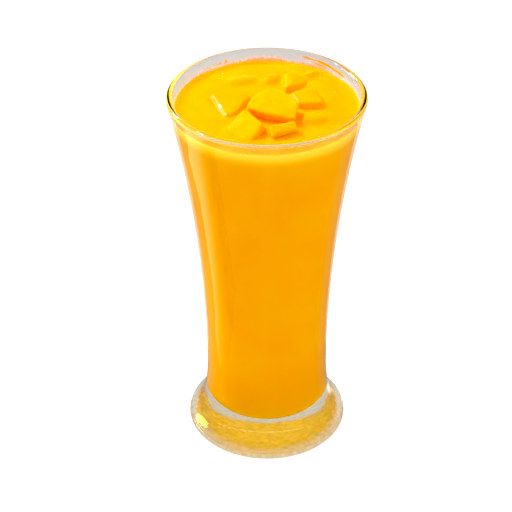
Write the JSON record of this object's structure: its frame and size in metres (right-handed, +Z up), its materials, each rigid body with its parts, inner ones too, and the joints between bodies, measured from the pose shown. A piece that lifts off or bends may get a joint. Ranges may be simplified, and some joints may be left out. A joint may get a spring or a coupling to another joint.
{
  "type": "mango smoothie",
  "caption": "Mango smoothie, topped with soft mango dice half sunk in its surface, in a tall flared drinking glass on a thick round foot.",
  "frame": {"origin": "centre of the foot's underside, on the surface that the glass stands on", "axes": "+Z up along the axis of the glass, +Y away from the viewer of the picture, +X to the viewer's right"},
  "size_m": [0.0818, 0.0818, 0.1663],
  "materials": {
    "clear_glass": "clear polished soda-lime glass, thick in the foot",
    "mango_smoothie": "thick opaque fruit puree with a soft wet sheen",
    "mango_flesh": "wet cut mango flesh, slightly translucent"
  },
  "bodies": {
    "root": {"glass": "clear_glass", "smoothie": "mango_smoothie", "dice_centre": "mango_flesh", "dice_front_left": "mango_flesh", "dice_front_right": "mango_flesh", "dice_left": "mango_flesh", "dice_back": "mango_flesh", "dice_right": "mango_flesh", "dice_low_right": "mango_flesh", "dice_back_left": "mango_flesh", "dice_far_back": "mango_flesh", "dice_back_right": "mango_flesh", "dice_front": "mango_flesh"}
  },
  "joints": []
}
